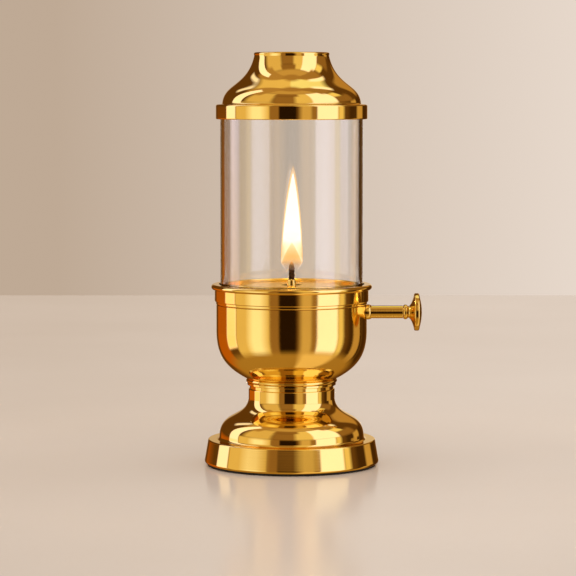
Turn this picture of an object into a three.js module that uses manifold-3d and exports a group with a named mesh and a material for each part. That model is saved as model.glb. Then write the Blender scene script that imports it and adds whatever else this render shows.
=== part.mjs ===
// Brass diya lantern: a turned brass oil lamp with a raised foot, an oil bowl with a side knob that
// raises the wick, a borosilicate chimney and a spun cap. Millimetres, +Z up, the origin at the middle
// of the underside of the base pad.
import * as THREE from "three";
import { mergeVertices } from "three/addons/utils/BufferGeometryUtils.js";
import Module from "manifold-3d";

const wasm = await Module();
wasm.setup();

// Facets round the axis: large turnings, small turnings
const largeFacets = 36;
const smallFacets = 20;

// Clearances
const seatGap = 0.3; // between pieces that fit round or inside each other
const runningGap = 0.25; // radial, round what turns or slides

// Base pad and pedestal
const padThickness = 1;
const padInset = 1.4;
const footRadius = 42.9;
const footEdge = 1.4;
const footBandHeight = 11.9;
const footBandTaper = 1.7;
const footLedgeWidth = 5.2;
const sheetWall = 1.6;
const domeRadius = 35.6;
const domeHeight = 19.9;
const domeShoulderDraw = 0.2;
const domeShoulderRise = 12.3;
const domeNeckFlare = 1.2;
const domeNeckRise = 8.8;
const domeNeckLength = 5.1;
const neckRadius = 21.2;

// Neck collar under the bowl
const collarGroove = 0.6;
const collarGrooveHeight = 1.6;
const collarStepHeight = 1.2;
const collarBeadRadius = 22.4;
const collarBeadHeight = 2.2;

// Tie bolt that holds foot, collar and bowl together
const tieRadius = 3;
const tieHeadAcross = 10;
const tieHeadHeight = 4;
const tieNutHeight = 5;
const tieTail = 2.5;
const tieWasherRadius = 8;
const tieWasherThickness = 1.2;

// Oil bowl
const bowlSeatRadius = 22.3;
const bowlBellyReach = 10;
const bowlBellyRise = 5.3;
const bowlBellyTurn = 11.1;
const bowlBellyHeight = 23;
const bowlHeight = 36.2;
const bowlWall = 1.5;
const spigotHeight = 4.3;

// Gallery ring that the chimney stands in
const galleryBeadHeight = 1.6;
const galleryBeadProud = 0.2;
const galleryBandStep = 0.8;
const galleryBandHeight = 7.4;
const galleryRimWidth = 3.8;
const galleryRimOverhang = 1.7;
const galleryRimHeight = 2.7;
const gallerySeatDepth = 4.3;
const galleryShelfWidth = 7;
const galleryShelfThickness = 1.2;

// Glass chimney
const glassRadius = 35;
const glassWall = 1.9;
const glassLength = 91;
const glassSideGap = 0.7;

// Chimney cap
const capWall = 1.2;
const capBandDrop = 6.1;
const capSideGap = 0.9;
const capEdge = 0.5;
const capShoulderInset = 1.1;
const capShoulderRise = 10.4;
const capShoulderDraw = 1.3;
const capThroatFlare = 3.3;
const capThroatRise = 9;
const capMouthRadius = 18.3;
const capRise = 25.3;
const capLipRadius = 0.8;
const capLipCurl = 20; // degrees that the lip rolls on past level, on both sides

// Burner dish
const dishSideGap = 1.6;
const dishRimHeight = 4.9;
const dishWall = 0.8;
const dishTroughInset = 2.9;
const dishTroughFlat = 1;
const dishPlateRadius = 22;
const dishPlateHeight = 3.8;
const dishPlateEase = 2;
const dishHoleRadius = 4.25;

// Wick, its tube and the bridge that carries them
const wickRadius = 1.35;
const wickCharRadius = 1.45;
const wickAboveNozzle = 8.8;
const wickCharLength = 11;
const wickCharStep = 1;
const wickTipLength = 3;
const wickFloorGap = 6;
const tubeWall = 0.8;
const tubeLength = 20.8;
const nozzleHeight = 2.7;
const nozzleWall = 0.45;
const bridgeWidth = 18;
const bridgeThickness = 1.5;

// Wick raiser
const spindleRadius = 1.5;
const spindleOffset = 5.4;
const spindleDrop = 6.4;
const wheelWidth = 2.6;
const wheelTeeth = 14;
const toothDepth = 0.8;
const slotMargin = 0.5;
const bracketThickness = 1.5;
const bracketGap = 3;
const bracketWidth = 8;
const spindleTail = 1;

// Knob and its fixed sleeve
const sleeveRadius = 3.1;
const sleeveReach = 17.5;
const sleeveThread = 0.5;
const sleeveNutAcross = 9;
const sleeveNutWidth = 2.6;
const bossRadius = 3.7;
const bossLength = 2.2;
const knobGap = 0.4;
const knobBeadRadius = 3.6;
const knobBeadLength = 2.4;
const knobNeckRadius = 2.9;
const knobRadius = 9.2;
const knobFlareLength = 3;
const knobFlareStraight = 1;
const knobFlareRadius = 5.8;
const knobFlareTurn = 1.7;
const knobEdge = 1.15;
const knobCrown = 1.5;
const knobCrownRadius = 5.4;
const knobEdgeFrom = -50; // degrees, where the edge's round starts behind and ends in front
const knobEdgeTo = 60;
const knobBoreEnd = 2;

// Radii that follow from the sizes above, outwards from the glass
const galleryBore = glassRadius + glassSideGap;
const galleryRimRadius = galleryBore + galleryRimWidth;
const galleryBandRadius = galleryRimRadius - galleryRimOverhang;
const bowlRadius = galleryBandRadius - galleryBandStep;
const spigotRadius = galleryBandRadius - bowlWall - seatGap;
const spigotBore = spigotRadius - bowlWall;
const dishRimRadius = glassRadius - glassWall - dishSideGap;
const dishTroughRadius = dishRimRadius - dishTroughInset;
const capShoulderRadius = glassRadius - capShoulderInset;
const tubeBore = wickRadius + runningGap;
const tubeRadius = tubeBore + tubeWall;
const wheelRadius = spindleOffset - wickRadius - runningGap;
const tieHole = tieRadius + seatGap;

// Heights that follow from the sizes above
const footBottom = padThickness;
const bandTop = footBottom + footBandHeight;
const domeBase = bandTop + footEdge;
const domeTop = domeBase + domeHeight - footEdge;
const footTop = domeTop + domeNeckLength;
const collarTop = footTop + collarGrooveHeight + collarStepHeight + collarBeadHeight;
const bowlBottom = collarTop;
const bowlShoulder = bowlBottom + bowlHeight;
const bowlFloor = bowlBottom + bowlWall;
const galleryTop = bowlShoulder + galleryBandHeight + galleryRimHeight;
const galleryFloor = galleryTop - gallerySeatDepth;
const shelfUnder = galleryFloor - galleryShelfThickness;
const glassTop = galleryFloor + glassLength;
const plateTop = galleryFloor + dishPlateHeight;
const bridgeUnder = shelfUnder - bridgeThickness;
const spindleHeight = bridgeUnder - spindleDrop;
const nozzleTop = plateTop + nozzleHeight;
const wickTop = nozzleTop + wickAboveNozzle;

// Places along the spindle, where its height line meets the bowl's wall and the nut inside
const hexCorner = (acrossFlats) => acrossFlats / Math.sqrt(3);
const wallX = Math.sqrt(bowlRadius ** 2 - spindleOffset ** 2);
const nutCorner = hexCorner(sleeveNutAcross);
const nutOuter = Math.sqrt(spigotBore ** 2 - (spindleOffset + nutCorner) ** 2) - seatGap;
const sleeveInnerEnd = nutOuter - sleeveNutWidth - sleeveThread;
const sleeveEnd = wallX + sleeveReach;

const BRASS = { color: 0xd9a441, roughness: 0.22, metalness: 1 };
const SATIN_BRASS = { color: 0xcf9a3c, roughness: 0.38, metalness: 1 };
const STEEL = { color: 0x9a9a98, roughness: 0.4, metalness: 1 };
const GLASS = { color: 0xf2f6f5, roughness: 0.05, metalness: 0, transparent: true, opacity: 0.3 };
const COTTON = { color: 0x2b2420, roughness: 0.95, metalness: 0 };
const FELT = { color: 0x111111, roughness: 0.95, metalness: 0 };

const lamp = new THREE.Group();
const at = (radius, height) => new THREE.Vector2(radius, height);
const bend = (a, b, c, d, steps) => new THREE.CubicBezierCurve(a, b, c, d).getPoints(steps);

// A quarter or half round: centre, radius, start and end angle in degrees
function arc(centre, radius, from, to, steps = 3) {
  return Array.from({ length: steps + 1 }, (_, i) => {
    const angle = THREE.MathUtils.degToRad(from + ((to - from) * i) / steps);
    return at(centre.x + radius * Math.cos(angle), centre.y + radius * Math.sin(angle));
  });
}

// The same outline moved sideways by the wall, towards its right-hand side
function offset(points, wall) {
  return points.map((point, i) => {
    const before = points[Math.max(i - 1, 0)];
    const after = points[Math.min(i + 1, points.length - 1)];
    const along = after.clone().sub(before).normalize();
    return at(point.x + along.y * wall, point.y - along.x * wall);
  });
}

// Merges equal vertices, drops flat triangles and turns the faces outwards
function closedGeometry(source) {
  const bare = source.index ? source.toNonIndexed() : source.clone();
  bare.deleteAttribute("normal");
  bare.deleteAttribute("uv");
  const merged = mergeVertices(bare, 1e-4);
  const place = merged.attributes.position;
  const index = [...merged.index.array];
  const corners = [new THREE.Vector3(), new THREE.Vector3(), new THREE.Vector3()];
  const kept = [];
  let volume = 0;
  for (let i = 0; i < index.length; i += 3) {
    const face = index.slice(i, i + 3);
    if (new Set(face).size < 3) continue;
    kept.push(...face);
    face.forEach((vertex, k) => corners[k].fromBufferAttribute(place, vertex));
    volume += corners[0].dot(corners[1].cross(corners[2]));
  }
  merged.setIndex(volume < 0 ? kept.reverse() : kept);
  return merged;
}

// A turning about +Z from a closed outline of (radius, height) points
function turned(outline, facets = largeFacets) {
  const geometry = new THREE.LatheGeometry(outline, facets);
  geometry.rotateX(Math.PI / 2);
  return closedGeometry(geometry);
}

const closed = (outline) => [...outline, outline[0].clone()];
const disc = (radius, low, high, facets) =>
  turned([at(0, low), at(radius, low), at(radius, high), at(0, high)], facets);
const ring = (inner, outer, low, high, facets) =>
  turned(closed([at(inner, low), at(outer, low), at(outer, high), at(inner, high)]), facets);

// Lays a turning made about +Z along the spindle's axis, which runs towards +X
function alongSpindle(geometry) {
  geometry.rotateY(Math.PI / 2);
  geometry.translate(0, -spindleOffset, spindleHeight);
  return geometry;
}

function solidOf(geometry) {
  const closedOne = closedGeometry(geometry);
  return new wasm.Manifold(
    new wasm.Mesh({
      numProp: 3,
      vertProperties: new Float32Array(closedOne.attributes.position.array),
      triVerts: new Uint32Array(closedOne.index.array),
    }),
  );
}

function geometryOf(solid) {
  const mesh = solid.getMesh();
  const geometry = new THREE.BufferGeometry();
  geometry.setAttribute("position", new THREE.BufferAttribute(new Float32Array(mesh.vertProperties), 3));
  geometry.setIndex(new THREE.BufferAttribute(new Uint32Array(mesh.triVerts), 1));
  return geometry;
}

const cut = (geometry, ...tools) =>
  geometryOf(tools.reduce((solid, tool) => solid.subtract(solidOf(tool)), solidOf(geometry)));

function box(sizeX, sizeY, sizeZ, x, y, z) {
  return new THREE.BoxGeometry(sizeX, sizeY, sizeZ).translate(x, y, z);
}

function add(name, geometry, look) {
  const mesh = new THREE.Mesh(geometry, new THREE.MeshStandardMaterial(look));
  mesh.name = name;
  lamp.add(mesh);
}

// Base pad: a full disc of felt under the foot's turned-in edge
function basePad() {
  add("base_pad", disc(footRadius - padInset, 0, padThickness, largeFacets), FELT);
}

// Pedestal: tapered band, ledge, domed flare and straight neck, spun as one hollow shell
function pedestalFoot() {
  const bandTopRadius = footRadius - footBandTaper;
  const dome = bend(
    at(domeRadius, domeBase),
    at(domeRadius - domeShoulderDraw, domeBase + domeShoulderRise),
    at(neckRadius + domeNeckFlare, domeBase + domeNeckRise),
    at(neckRadius, domeTop),
    8,
  );
  const cove = arc(at(domeRadius + footEdge, domeBase), footEdge, 270, 180, 2);
  const outside = [
    ...arc(at(footRadius - footEdge, footBottom + footEdge), footEdge, -90, 0),
    ...arc(at(bandTopRadius - footEdge / 2, bandTop - footEdge / 2), footEdge / 2, 0, 90, 2),
    ...cove.slice(0, -1),
    ...dome,
    at(neckRadius, footTop - footEdge / 4),
    at(neckRadius - footEdge / 4, footTop),
  ];
  const innerDome = offset(dome, -sheetWall);
  const inside = [
    at(tieHole, footTop),
    at(tieHole, footTop - sheetWall),
    at(neckRadius - sheetWall, footTop - sheetWall),
    ...innerDome.reverse(),
    at(domeRadius - sheetWall, bandTop - sheetWall),
    at(bandTopRadius - sheetWall, bandTop - sheetWall),
    at(footRadius - footLedgeWidth / 2, footBottom + footEdge + sheetWall),
    at(footRadius - footLedgeWidth, footBottom + sheetWall),
    at(footRadius - footLedgeWidth, footBottom),
  ];
  add("pedestal_foot", turned(closed([...outside, ...inside])), BRASS);
}

// Collar between foot and bowl: a groove, a thin step and a rounded bead
function neckCollar() {
  const groove = neckRadius - collarGroove;
  const stepBottom = footTop + collarGrooveHeight;
  const beadBottom = stepBottom + collarStepHeight;
  const beadHalf = collarBeadHeight / 2;
  const outline = [
    at(tieHole, footTop),
    at(groove, footTop),
    at(groove, stepBottom),
    at(neckRadius + collarGroove, stepBottom),
    at(neckRadius + collarGroove, beadBottom),
    ...arc(at(collarBeadRadius - beadHalf, beadBottom + beadHalf), beadHalf, -90, 90, 4),
    at(tieHole, collarTop),
  ];
  add("neck_collar", turned(closed(outline)), BRASS);
}

// Bolt from the bowl's floor down through the collar, with its washers and nut inside the foot
function tie() {
  const headBottom = bowlFloor + tieWasherThickness;
  const nutTop = footTop - sheetWall;
  const shankBottom = nutTop - tieNutHeight - tieTail;
  const shank = disc(tieRadius, shankBottom, headBottom + tieHeadHeight / 2, smallFacets);
  const head = disc(hexCorner(tieHeadAcross), headBottom, headBottom + tieHeadHeight, 6);
  add("tie_bolt", geometryOf(solidOf(shank).add(solidOf(head))), STEEL);
  add("tie_washer", ring(tieHole, tieWasherRadius, bowlFloor, headBottom, smallFacets), STEEL);
  const nutBlank = disc(hexCorner(tieHeadAcross), nutTop - tieNutHeight, nutTop, 6);
  const nutBore = disc(tieHole, nutTop - 2 * tieNutHeight, footTop, smallFacets);
  add("tie_nut", cut(nutBlank, nutBore), STEEL);
}

// Oil bowl: a spun shell with a flat seat, a round belly and a spigot that enters the gallery ring
function oilBowl() {
  const belly = bend(
    at(bowlSeatRadius, bowlBottom),
    at(bowlSeatRadius + bowlBellyReach, bowlBottom + bowlBellyRise),
    at(bowlRadius, bowlBottom + bowlBellyTurn),
    at(bowlRadius, bowlBottom + bowlBellyHeight),
    8,
  );
  const spigotTop = bowlShoulder + spigotHeight;
  const innerBelly = offset(belly, -bowlWall).slice(1);
  const outline = [
    at(tieHole, bowlBottom),
    ...belly,
    at(bowlRadius, bowlShoulder),
    at(spigotRadius, bowlShoulder),
    at(spigotRadius, spigotTop),
    at(spigotBore, spigotTop),
    at(spigotBore, bowlShoulder - bowlWall),
    at(bowlRadius - bowlWall, bowlShoulder - 2 * bowlWall),
    ...innerBelly.reverse(),
    at(bowlSeatRadius, bowlFloor),
    at(tieHole, bowlFloor),
  ];
  const bore = alongSpindle(disc(sleeveRadius + seatGap, bowlRadius / 2, bowlRadius * 2, smallFacets));
  add("oil_bowl", cut(turned(closed(outline)), bore), SATIN_BRASS);
}

// Gallery: a rounded ledge, a band and a rim, with a shelf inside for the chimney and the dish
function galleryRing() {
  const socket = galleryBandRadius - bowlWall;
  const bandTopHeight = galleryTop - galleryRimHeight;
  const half = galleryRimHeight / 2;
  const ledge = galleryBeadHeight / 2;
  const shelf = galleryBore - galleryShelfWidth;
  const outline = [
    at(socket, bowlShoulder),
    ...arc(at(bowlRadius + galleryBeadProud - ledge, bowlShoulder + ledge), ledge, -90, 0, 2),
    at(galleryBandRadius, bowlShoulder + galleryBeadHeight + ledge),
    at(galleryBandRadius, bandTopHeight),
    ...arc(at(galleryRimRadius - half, bandTopHeight + half), half, -90, 90, 5),
    at(galleryBore, galleryTop),
    at(galleryBore, galleryFloor),
    at(shelf, galleryFloor),
    at(shelf, shelfUnder),
    at(socket, shelfUnder),
  ];
  add("gallery_ring", turned(closed(outline)), SATIN_BRASS);
}

// Bridge under the dish with the wick tube, its tip and the plate that carries the spindle's end
function burner() {
  const holeCutter = disc(tubeRadius + seatGap, bridgeUnder - bridgeThickness, galleryFloor, smallFacets);
  const bridgeReach = Math.sqrt((spigotBore - seatGap) ** 2 - (bridgeWidth / 2) ** 2);
  const strap = box(2 * bridgeReach, bridgeWidth, bridgeThickness, 0, 0, bridgeUnder + bridgeThickness / 2);
  add("burner_bridge", cut(strap, holeCutter), SATIN_BRASS);

  const tubeTop = plateTop - dishWall;
  const tube = ring(tubeBore, tubeRadius, tubeTop - tubeLength, tubeTop, smallFacets);
  const slotHalf = wheelRadius + slotMargin;
  const slot = box(
    wheelWidth + 2 * slotMargin,
    tubeRadius,
    2 * slotHalf,
    0,
    -tubeBore - tubeRadius / 2 + slotMargin,
    spindleHeight,
  );
  add("wick_tube", cut(tube, slot), SATIN_BRASS);

  const tip = [
    at(tubeBore, tubeTop),
    at(tubeRadius, tubeTop),
    at(tubeBore + nozzleWall, nozzleTop),
    at(tubeBore, nozzleTop),
  ];
  add("wick_nozzle", turned(closed(tip), smallFacets), BRASS);

  const plateX = -(wheelWidth / 2 + bracketGap);
  const plateLow = spindleHeight - 2 * spindleRadius;
  const plate = box(
    bracketThickness,
    bracketWidth,
    bridgeUnder - plateLow,
    plateX,
    -spindleOffset,
    (bridgeUnder + plateLow) / 2,
  );
  const eye = alongSpindle(disc(spindleRadius + runningGap, -bowlRadius, bowlRadius, smallFacets));
  add("spindle_bracket", cut(plate, eye), SATIN_BRASS);
}

// Fixed sleeve through the bowl's wall, its boss outside and its lock nut inside
function sleeve() {
  const bore = spindleRadius + runningGap;
  const tube = ring(bore, sleeveRadius, sleeveInnerEnd, sleeveEnd, smallFacets);
  add("spindle_sleeve", alongSpindle(tube), BRASS);
  const bossEnd = wallX + bossLength;
  const bossOutline = [
    at(sleeveRadius + seatGap, wallX - bossRadius),
    at(bossRadius, wallX - bossRadius),
    at(bossRadius, bossEnd - bossLength / 2),
    at(sleeveRadius + seatGap, bossEnd),
  ];
  const wall = disc(bowlRadius + seatGap, bowlBottom, galleryTop, 2 * largeFacets);
  add("spindle_boss", cut(alongSpindle(turned(closed(bossOutline), smallFacets)), wall), BRASS);
  const nut = disc(nutCorner, nutOuter - sleeveNutWidth, nutOuter, 6);
  const nutBore = disc(sleeveRadius + seatGap, 0, bowlRadius, smallFacets);
  add("sleeve_nut", alongSpindle(cut(nut, nutBore)), SATIN_BRASS);
}

// Toothed wheel: an outline that swings between root and tip, with the spindle's bore
function wickWheel() {
  const outline = new THREE.Shape();
  const corners = wheelTeeth * 4;
  for (let i = 0; i < corners; i++) {
    const angle = (i / corners) * 2 * Math.PI;
    const radius = i % 4 < 2 ? wheelRadius : wheelRadius - toothDepth;
    const x = radius * Math.cos(angle);
    const y = radius * Math.sin(angle);
    if (i === 0) outline.moveTo(x, y);
    else outline.lineTo(x, y);
  }
  outline.closePath();
  const bore = new THREE.Path().absarc(0, 0, spindleRadius + runningGap, 0, 2 * Math.PI, true);
  outline.holes.push(bore);
  const wheel = new THREE.ExtrudeGeometry(outline, {
    depth: wheelWidth,
    bevelEnabled: false,
    curveSegments: smallFacets / 2,
  });
  wheel.translate(0, 0, -wheelWidth / 2);
  add("wick_wheel", alongSpindle(closedGeometry(wheel)), SATIN_BRASS);
}

// Spindle and the turned knob on its end: bead, neck, trumpet flare and a gently domed face
function spindleAndKnob() {
  const start = sleeveEnd + knobGap;
  const beadHalf = knobBeadLength / 2;
  const neckX = start + knobBeadLength;
  const edgeX = neckX + knobFlareLength;
  const faceX = edgeX + 2 * knobEdge;
  const boreEnd = edgeX - knobBoreEnd;
  const innerEnd = -(wheelWidth / 2 + bracketGap + bracketThickness / 2 + spindleTail);
  add("spindle", alongSpindle(disc(spindleRadius, innerEnd, boreEnd - seatGap, smallFacets)), STEEL);
  const outline = [
    at(0, boreEnd),
    at(spindleRadius + seatGap, boreEnd),
    at(spindleRadius + seatGap, start),
    ...arc(at(knobBeadRadius - beadHalf, start + beadHalf), beadHalf, -90, 90, 4),
    ...bend(
      at(knobNeckRadius, neckX),
      at(knobNeckRadius, neckX + knobFlareStraight),
      at(knobFlareRadius, neckX + knobFlareTurn),
      at(knobRadius - knobEdge, edgeX),
      5,
    ),
    ...arc(at(knobRadius - knobEdge, edgeX + knobEdge), knobEdge, knobEdgeFrom, knobEdgeTo, 4),
    ...bend(
      at(knobRadius - knobEdge, faceX),
      at(knobCrownRadius, faceX + (2 * knobCrown) / 3),
      at(knobCrownRadius / 2, faceX + knobCrown),
      at(0, faceX + knobCrown),
      5,
    ),
  ];
  add("wick_knob", alongSpindle(turned(outline, smallFacets + 4)), BRASS);
}

// Cotton wick: from just above the bowl's floor up to its charred, pointed tip
function wick() {
  const bottom = bowlFloor + tieWasherThickness + tieHeadHeight + wickFloorGap;
  const charBottom = wickTop - wickCharLength;
  const tip = bend(
    at(wickCharRadius, wickTop - wickTipLength),
    at(wickCharRadius, wickTop - wickTipLength / 3),
    at(wickCharRadius / 2, wickTop),
    at(0, wickTop),
    4,
  );
  const outline = [
    at(0, bottom),
    at(wickRadius, bottom),
    at(wickRadius, charBottom),
    at(wickCharRadius, charBottom + wickCharStep),
    ...tip,
  ];
  add("wick", turned(outline, smallFacets - 4), COTTON);
}

// Removable dish round the nozzle: a raised rim, a trough that stands on the shelf, a flat plate
function burnerDish() {
  const low = galleryFloor;
  const troughTop = low + dishWall;
  const troughEnd = dishTroughRadius - dishTroughFlat;
  const step = bend(
    at(troughEnd, troughTop),
    at(troughEnd - dishPlateEase, troughTop),
    at(dishPlateRadius + dishPlateEase, plateTop),
    at(dishPlateRadius, plateTop),
    5,
  );
  const outline = [
    at(dishRimRadius - dishWall, low + dishRimHeight),
    ...bend(
      at(dishRimRadius - dishWall, troughTop + dishWall),
      at(dishRimRadius - 2 * dishWall, troughTop),
      at(dishRimRadius - 2 * dishWall, troughTop),
      at(dishTroughRadius, troughTop),
      3,
    ),
    ...step,
    at(dishHoleRadius, plateTop),
    at(dishHoleRadius, plateTop - dishWall),
    ...offset(step, -dishWall).reverse(),
    at(dishRimRadius - dishWall, low),
    at(dishRimRadius, troughTop),
    at(dishRimRadius, low + dishRimHeight),
  ];
  add("burner_dish", turned(closed(outline)), BRASS);
}

// Glass chimney: a plain straight tube that stands on the gallery's shelf
function glassChimney() {
  const tube = ring(glassRadius - glassWall, glassRadius, galleryFloor, glassTop, largeFacets);
  add("glass_chimney", tube, GLASS);
}

// Chimney cap: a band round the glass, a ledge that rests on it and an ogee up to the open mouth
function chimneyCap() {
  const bandInner = glassRadius + capSideGap;
  const bandOuter = bandInner + capWall;
  const bandBottom = glassTop - capBandDrop;
  const ledgeTop = glassTop + capWall;
  const mouthHeight = glassTop + capWall + capRise;
  const ogee = bend(
    at(capShoulderRadius, ledgeTop + 2 * capEdge),
    at(capShoulderRadius - capShoulderDraw, ledgeTop + capShoulderRise),
    at(capMouthRadius + capThroatFlare, ledgeTop + capThroatRise),
    at(capMouthRadius, mouthHeight - 2 * capLipRadius),
    9,
  );
  const lipCentre = at(capMouthRadius - capWall / 2, mouthHeight - capLipRadius);
  const lip = arc(lipCentre, capLipRadius, -capLipCurl, 180 + capLipCurl, 5);
  const inner = offset(ogee, -capWall);
  const outline = [
    at(bandInner, bandBottom),
    at(bandOuter - capEdge, bandBottom),
    at(bandOuter, bandBottom + capEdge),
    ...arc(at(bandOuter - 2 * capEdge, ledgeTop - 2 * capEdge), 2 * capEdge, 0, 90, 3),
    at(capShoulderRadius + capEdge, ledgeTop + capEdge / 2),
    ...ogee,
    ...lip,
    ...inner.reverse().slice(0, -1),
    at(capShoulderRadius - capWall, glassTop),
    at(bandInner, glassTop),
  ];
  add("chimney_cap", turned(closed(outline)), BRASS);
}

basePad();
pedestalFoot();
neckCollar();
tie();
oilBowl();
galleryRing();
burner();
sleeve();
wickWheel();
spindleAndKnob();
wick();
burnerDish();
glassChimney();
chimneyCap();

export default lamp;
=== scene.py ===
# %% [markdown]
# # A brass diya lantern
# The lamp is a stack of turned and spun brass: a domed foot, a round oil bowl with a small side knob,
# a glass chimney in a gallery ring, and a cap with an open mouth. Nearly every piece is a surface of
# revolution, so this lesson makes one good turning function and then thinks about outlines.

import bmesh
import bpy
import numpy as np
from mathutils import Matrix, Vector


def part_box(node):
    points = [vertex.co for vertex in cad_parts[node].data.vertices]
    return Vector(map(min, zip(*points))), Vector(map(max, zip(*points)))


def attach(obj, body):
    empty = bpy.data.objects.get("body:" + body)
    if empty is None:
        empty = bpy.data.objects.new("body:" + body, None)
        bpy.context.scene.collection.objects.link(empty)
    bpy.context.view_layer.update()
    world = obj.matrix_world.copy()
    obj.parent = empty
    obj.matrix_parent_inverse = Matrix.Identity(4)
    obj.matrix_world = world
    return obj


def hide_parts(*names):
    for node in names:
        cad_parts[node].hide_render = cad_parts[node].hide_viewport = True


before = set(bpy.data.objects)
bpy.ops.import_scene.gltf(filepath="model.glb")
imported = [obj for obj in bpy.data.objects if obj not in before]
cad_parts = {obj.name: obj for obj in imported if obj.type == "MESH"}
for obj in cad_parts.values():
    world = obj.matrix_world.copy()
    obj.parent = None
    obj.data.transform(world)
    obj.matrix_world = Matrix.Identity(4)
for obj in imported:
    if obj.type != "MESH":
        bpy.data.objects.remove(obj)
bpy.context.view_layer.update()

# %% [markdown]
# ## Sizes
# The sizes are the real ones, in millimetres, as a turner would mark them on a drawing. The heights of
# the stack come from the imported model, so every finished piece lies where its plain solid lies.

# %% Sizes and heights
MM = 0.001
WALL = 1.6
NECK_RADIUS = 21.2
DOME_RADIUS = 35.6
BOWL_WALL = 1.5
SEAT_GAP = 0.3
BOLT_HOLE = 3.3
SHARP_ANGLE = np.radians(38)


def low_high(node):
    """The lowest and highest corner of a plain solid, in millimetres."""
    low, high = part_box(node)
    return np.array(low) / MM, np.array(high) / MM


pad_low, pad_high = low_high("base_pad")
foot_low, foot_high = low_high("pedestal_foot")
collar_low, collar_high = low_high("neck_collar")
bowl_low, bowl_high = low_high("oil_bowl")
gallery_low, gallery_high = low_high("gallery_ring")
dish_low, dish_high = low_high("burner_dish")
nozzle_low, nozzle_high = low_high("wick_nozzle")
wick_low, wick_high = low_high("wick")
glass_low, glass_high = low_high("glass_chimney")
cap_low, cap_high = low_high("chimney_cap")
knob_low, knob_high = low_high("wick_knob")
sleeve_low, sleeve_high = low_high("spindle_sleeve")
boss_high = low_high("spindle_boss")[1]
rod_low, rod_high = low_high("spindle")
_, SPINDLE_Y, SPINDLE_Z = (rod_low + rod_high) / 2
SPINDLE_RADIUS = (rod_high[1] - rod_low[1]) / 2
SLEEVE_RADIUS = (sleeve_high[1] - sleeve_low[1]) / 2
BOWL_RADIUS = bowl_high[0]
GLASS_RADIUS = glass_high[0]
print("lamp height in mm:", round(float(cap_high[2]), 2))
print("spindle axis at y, z in mm:", round(float(SPINDLE_Y), 2), round(float(SPINDLE_Z), 2))

# %% [markdown]
# ## Outlines
# An outline is a row of (radius, height) points. Besides plain corners, three tools draw all of them: a
# cubic curve for the long sweeps of dome, bowl and cap, a round for edges and beads, and a sideways
# offset that gives a spun sheet its even wall.


# %% Outline tools
def curve(a, b, c, d, steps=40):
    """Cubic curve: the corners weighted by (1-t)^3, 3t(1-t)^2, 3t^2(1-t) and t^3, with t from 0 to 1."""
    t = np.linspace(0.0, 1.0, steps + 1)[:, None]
    a, b, c, d = (np.array(p, float) for p in (a, b, c, d))
    return a * (1 - t) ** 3 + 3 * b * t * (1 - t) ** 2 + 3 * c * t**2 * (1 - t) + d * t**3


def round_edge(centre, radius, start, end, steps=10):
    """Part of a circle: centre plus radius times (cos a, sin a), a going from start to end degrees."""
    a = np.radians(np.linspace(start, end, steps + 1))
    return np.array(centre, float) + radius * np.column_stack([np.cos(a), np.sin(a)])


def beside(points, wall):
    """Each point moved by the wall along the outline's left-hand normal, the slope turned a quarter."""
    slope = np.gradient(points, axis=0)
    slope /= np.linalg.norm(slope, axis=1)[:, None]
    return points + wall * np.column_stack([-slope[:, 1], slope[:, 0]])


def points(*pairs):
    """Plain corners of an outline, each a pair of radius and height."""
    return np.array(pairs, float)


# %% [markdown]
# ## Turning
# A lathe carries the outline round the axis. The whole surface is one array: the radii times cosine and
# sine of the angles, and the heights repeated. Equal corners on the axis are merged so the poles close.


# %% The turning function
MERGE_DISTANCE = 1e-7
BRACE, LONG_STRETCH, SAME_POINT, ON_AXIS = 0.15, 2.0, 1e-6, 1e-9


def new_object(name, data):
    """An object for a mesh, a lamp or a camera, put into the scene."""
    made = bpy.data.objects.new(name, data)
    bpy.context.scene.collection.objects.link(made)
    return made


def new_piece(name, grid, closed_rows):
    """A piece from a (rows, columns, 3) grid of points in metres: quads join each row to the next one.

    The signed volume is negative when the faces point inwards, and then they are all turned round.
    """
    rows, columns = grid.shape[:2]
    row = np.arange(rows if closed_rows else rows - 1)[:, None]
    column = np.arange(columns)[None, :]
    after, beyond = (row + 1) % rows, (column + 1) % columns
    faces = np.stack(
        [row * columns + column, after * columns + column, after * columns + beyond, row * columns + beyond],
        axis=-1,
    ).reshape(-1, 4)
    mesh = bpy.data.meshes.new(name)
    mesh.from_pydata(grid.reshape(-1, 3).tolist(), [], faces.tolist())
    work = bmesh.new()
    work.from_mesh(mesh)
    bmesh.ops.remove_doubles(work, verts=work.verts, dist=MERGE_DISTANCE)
    if work.calc_volume(signed=True) < 0:
        bmesh.ops.reverse_faces(work, faces=work.faces)
    work.to_mesh(mesh)
    work.free()
    mesh.shade_smooth()
    mesh.set_sharp_from_angle(angle=SHARP_ANGLE)
    print(name, "faces:", len(mesh.polygons))
    return new_object(name, mesh)


def braced(outline):
    """Adds a point just inside both ends of each long straight stretch.

    A corner that is shaded smooth bends the normals of its whole neighbour, so without these points a
    straight wall of glass would work as a prism.
    """
    rows = [outline[0]]
    for start, end in zip(outline, outline[1:]):
        length = np.linalg.norm(end - start)
        if length > LONG_STRETCH:
            rows += [start + (end - start) * share for share in (BRACE / length, 1 - BRACE / length)]
        rows.append(end)
    return np.array(rows)


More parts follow.
